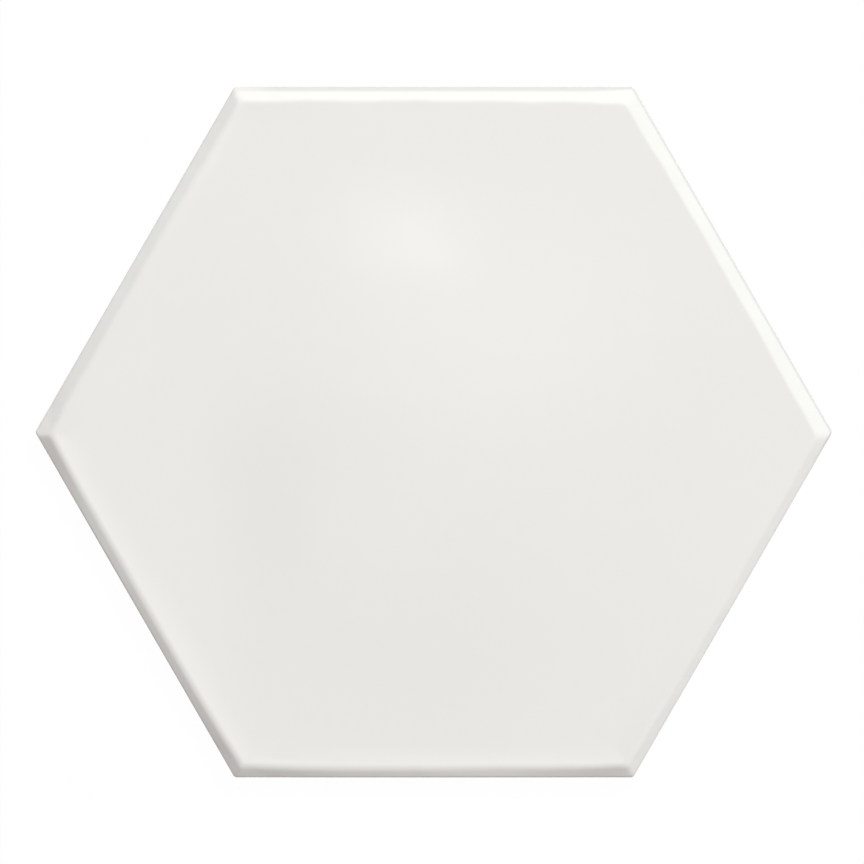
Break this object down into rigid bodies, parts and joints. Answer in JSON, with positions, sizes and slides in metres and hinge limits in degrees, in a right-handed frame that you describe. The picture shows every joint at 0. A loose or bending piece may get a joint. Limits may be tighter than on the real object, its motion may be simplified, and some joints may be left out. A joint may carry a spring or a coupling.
{
  "type": "hexagon floor tile",
  "caption": "Regular hexagonal ceramic floor tile with a flat white glazed face, softly pillowed bevelled edges, crisp corners and a keyed back.",
  "frame": {"origin": "middle of the tile's back, in the plane of its bedding face", "axes": "+Z out of the glazed face, +X towards a corner, +Y square to a side"},
  "size_m": [0.2018, 0.175, 0.009],
  "materials": {
    "glaze": "gloss"
  },
  "bodies": {
    "root": {"hexagon_tile": "glaze"}
  },
  "joints": []
}
